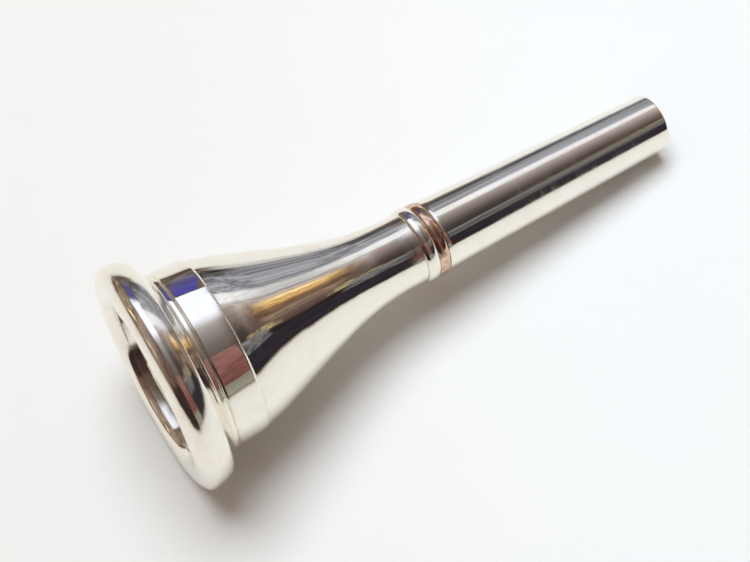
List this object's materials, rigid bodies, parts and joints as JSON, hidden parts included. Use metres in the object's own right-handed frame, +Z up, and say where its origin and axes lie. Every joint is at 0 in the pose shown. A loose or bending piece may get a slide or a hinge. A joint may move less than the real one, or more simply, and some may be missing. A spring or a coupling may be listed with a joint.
{
  "type": "horn mouthpiece",
  "caption": "Plated brass mouthpiece for a horn, with a screw-on rim, a deep funnel cup and a slim tapered shank that screws into the cup.",
  "frame": {"origin": "centre of the bounding box at the floor the mouthpiece lies on", "axes": "+X from the rim towards the shank's tip, +Z up; the mouthpiece lies on its rim and its tip, so its own axis slopes 8.48 degrees down towards +X"},
  "size_m": [0.0656, 0.0254, 0.0252],
  "materials": {
    "silver_plate": "polished",
    "bare_copper": "polished"
  },
  "bodies": {
    "cup": {"cup": "silver_plate"},
    "spacer_ring": {"spacer_ring": "silver_plate"},
    "rim": {"rim": "silver_plate"},
    "copper_ring": {"copper_ring": "bare_copper"},
    "shank": {"shank": "silver_plate"}
  },
  "joints": [
    {"name": "rim_travel", "type": "slide", "parent": "cup", "child": "spacer_ring", "axis": [-0.9891, 0, 0.1475], "range_m": [0, 0.0027]},
    {"name": "rim_screw", "type": "hinge", "parent": "spacer_ring", "child": "rim", "pos_m": [-0.03119, 0, 0.01281], "axis": [-0.9891, 0, 0.1475], "range_deg": [0, 1297]},
    {"name": "shank_travel", "type": "slide", "parent": "cup", "child": "copper_ring", "axis": [0.9891, 0, -0.1475], "range_m": [0, 0.0044]},
    {"name": "shank_screw", "type": "hinge", "parent": "copper_ring", "child": "shank", "pos_m": [-0.03119, 0, 0.01281], "axis": [0.9891, 0, -0.1475], "range_deg": [0, 2113]}
  ],
  "couplings": [
    {"joint": "rim_screw", "follows": "rim_travel", "rad_per_m": 8377.6},
    {"joint": "shank_screw", "follows": "shank_travel", "rad_per_m": 8377.6}
  ]
}
